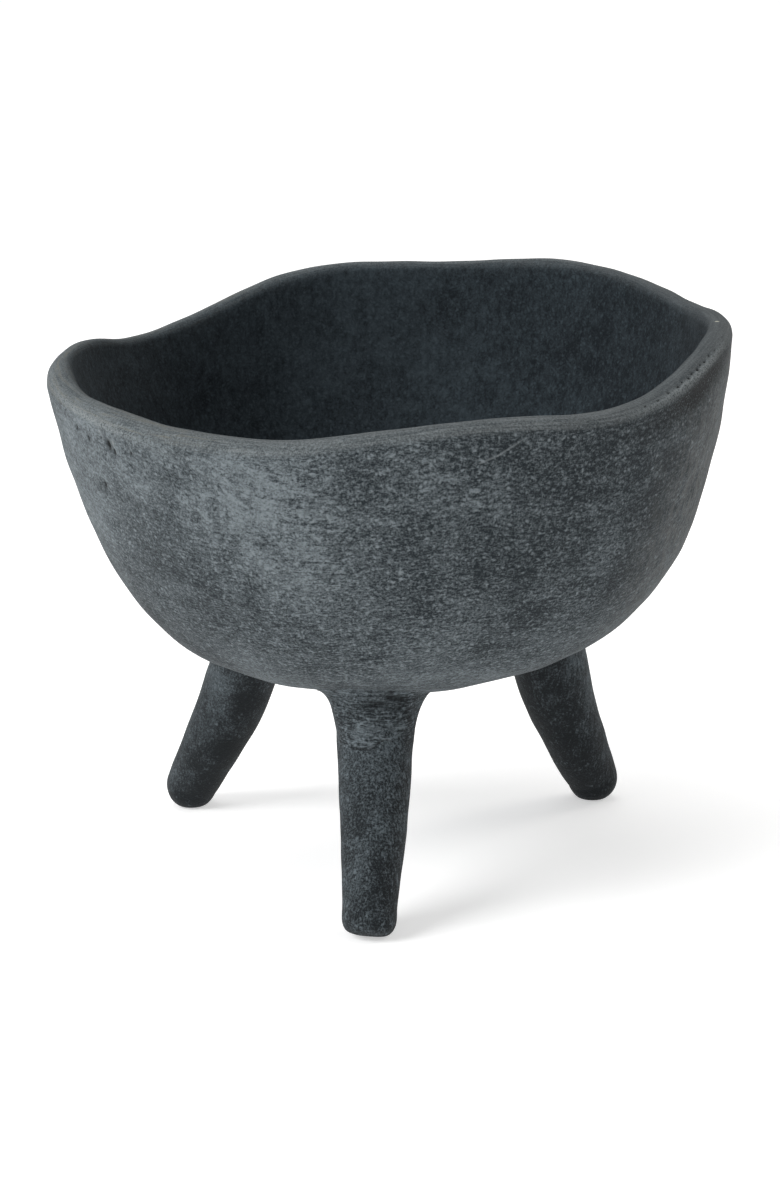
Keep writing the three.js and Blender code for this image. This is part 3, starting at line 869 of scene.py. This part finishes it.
def make_stage():
    """A pale floor, and a white sweep all round it that shows but casts no light."""
    bpy.ops.mesh.primitive_plane_add(size=4 * STUDIO_RADIUS, location=(0, 0, -FLOOR_CLEARANCE))
    floor = bpy.context.object
    floor.name = "floor"
    material = stage_material("pale_floor", FLOOR_TONE, FLOOR_GLOW[2])
    floor.data.materials.append(material)
    tree = material.node_tree
    away, glow = tree.nodes.new("ShaderNodeVectorMath"), tree.nodes.new("ShaderNodeMapRange")
    away.operation = "LENGTH"
    tree.links.new(tree.nodes.new("ShaderNodeTexCoord").outputs["Object"], away.inputs[0])
    tree.links.new(away.outputs["Value"], glow.inputs[0])
    for socket, number in zip(glow.inputs[1:5], FLOOR_GLOW):
        socket.default_value = number
    tree.links.new(glow.outputs[0], tree.nodes["Principled BSDF"].inputs["Emission Strength"])
    bpy.ops.mesh.primitive_uv_sphere_add(radius=STUDIO_RADIUS, location=(0, 0, 0))
    sweep = bpy.context.object
    sweep.name = "sweep"
    sweep.data.materials.append(stage_material("white_sweep", 0.0, 1.0))
    sweep.visible_diffuse = sweep.visible_glossy = sweep.visible_shadow = False


def area_light(name, place, size, power, tint):
    """A soft round light turned towards the lit point."""
    light = bpy.data.lights.new(name, "AREA")
    light.shape, light.size, light.energy, light.color = "DISK", size, power, tint
    lamp = bpy.data.objects.new(name, light)
    lamp.location = place
    direction = np.array(LIT_POINT) - np.array(place)
    yaw = math.atan2(direction[1], direction[0])
    pitch = math.acos(-direction[2] / np.linalg.norm(direction))
    lamp.rotation_euler = (pitch, 0, yaw - math.pi / 2)
    bpy.context.scene.collection.objects.link(lamp)


def make_light():
    """A plain pale world and the soft lights."""
    world = bpy.data.worlds.new("studio")
    world.use_nodes = True
    world.node_tree.nodes["Background"].inputs["Color"].default_value = (1, 1, 1, 1)
    world.node_tree.nodes["Background"].inputs["Strength"].default_value = WORLD_LIGHT
    scene = bpy.context.scene
    scene.world = world
    scene.view_settings.view_transform = "Standard"
    for light in LIGHTS:
        area_light(*light)


def make_camera():
    """The camera at the photograph's viewing angle."""
    data = bpy.data.cameras.new("camera")
    data.lens, data.sensor_width, data.sensor_fit = CAMERA_LENS, CAMERA_SENSOR, "AUTO"
    data.clip_start, data.clip_end = CAMERA_CLIP
    camera = bpy.data.objects.new("camera", data)
    camera.location, camera.rotation_euler = CAMERA_AT, CAMERA_TURN
    bpy.context.scene.collection.objects.link(camera)
    bpy.context.scene.camera = camera


def place(piece, node, material, slot):
    """Gives a piece its material, hangs it under the root body and hides the CAD node that it stands for."""
    piece.data.materials.append(material)
    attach(piece, "root")
    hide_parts(node)


make_camera()
make_light()
make_stage()
place(make_bowl(), "bowl", bowl_material(), "washed_clay")
LEG_CLAY = leg_material("dark_clay", LEG_TONES, 9, (1, 1, 6), 0.0)
COIL_CLAY = leg_material("joint_clay", COIL_TONES, 7, (7, 7, 1), 1.6)
for leg_name in LEGS:
    place(make_leg(leg_name), leg_name + "_leg", LEG_CLAY, "dark_clay")
    place(make_coil(leg_name), leg_name + "_joint_coil", COIL_CLAY, "joint_clay")
